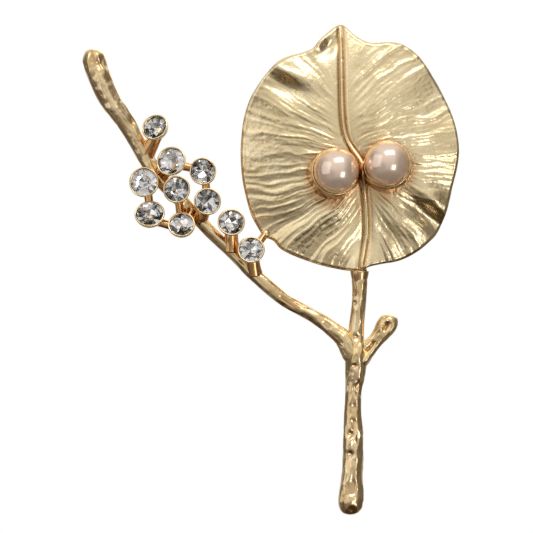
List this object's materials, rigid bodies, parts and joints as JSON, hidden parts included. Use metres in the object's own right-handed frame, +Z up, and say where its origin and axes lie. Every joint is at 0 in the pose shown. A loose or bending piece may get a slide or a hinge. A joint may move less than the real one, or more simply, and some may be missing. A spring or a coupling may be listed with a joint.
{
  "type": "brooch",
  "caption": "Twig-and-leaf brooch with pearls and clear stones, a swinging pin and a turning safety catch for fastening to cloth.",
  "frame": {"origin": "middle of the pin stem's straight wire, behind the leaf, with the pin closed", "axes": "+Z up along the twig's stem, +X to the right as seen from the front and along the closed pin towards its point, -Y towards the front"},
  "size_m": [0.0502, 0.013, 0.0653],
  "materials": {
    "leaf_gold": "satin champagne-gold plate",
    "bark_gold": "polished champagne-gold plate on bark texture",
    "cup_gold": "polished gold plate",
    "solder_gold": "plated solder",
    "pin_gold": "stamped and gold plated",
    "pin_steel": "drawn wire, pale gold plated",
    "pearl": "pearlescent coat",
    "stone_glass": "clear cut glass with a foiled back",
    "cement": "cured clear cement"
  },
  "bodies": {
    "brooch": {"twig_casting": "bark_gold", "leaf_casting": "leaf_gold", "pearl_cup_left": "cup_gold", "pearl_cup_right": "cup_gold", "pearl_left": "pearl", "pearl_right": "pearl", "stone_01": "stone_glass", "stone_02": "stone_glass", "stone_03": "stone_glass", "stone_04": "stone_glass", "stone_05": "stone_glass", "stone_06": "stone_glass", "stone_07": "stone_glass", "stone_08": "stone_glass", "stone_09": "stone_glass", "stone_10": "stone_glass", "pearl_adhesive": "cement", "stone_adhesive": "cement", "neck_solder": "solder_gold", "bridge_solder": "solder_gold", "pin_bar": "pin_gold", "bar_solder": "solder_gold", "hinge_rivet": "pin_steel", "catch_body": "pin_gold"},
    "pin": {"pin_stem": "pin_steel"},
    "rotor": {"catch_rotor": "pin_gold"}
  },
  "joints": [
    {"name": "pin_hinge", "type": "hinge", "parent": "brooch", "child": "pin", "pos_m": [-0.0105, 0, 0], "axis": [0, 0, 1], "range_deg": [0, 95]},
    {"name": "catch_turn", "type": "hinge", "parent": "brooch", "child": "rotor", "pos_m": [0.011, 0, 0], "axis": [1, 0, 0], "range_deg": [0, 170]}
  ]
}
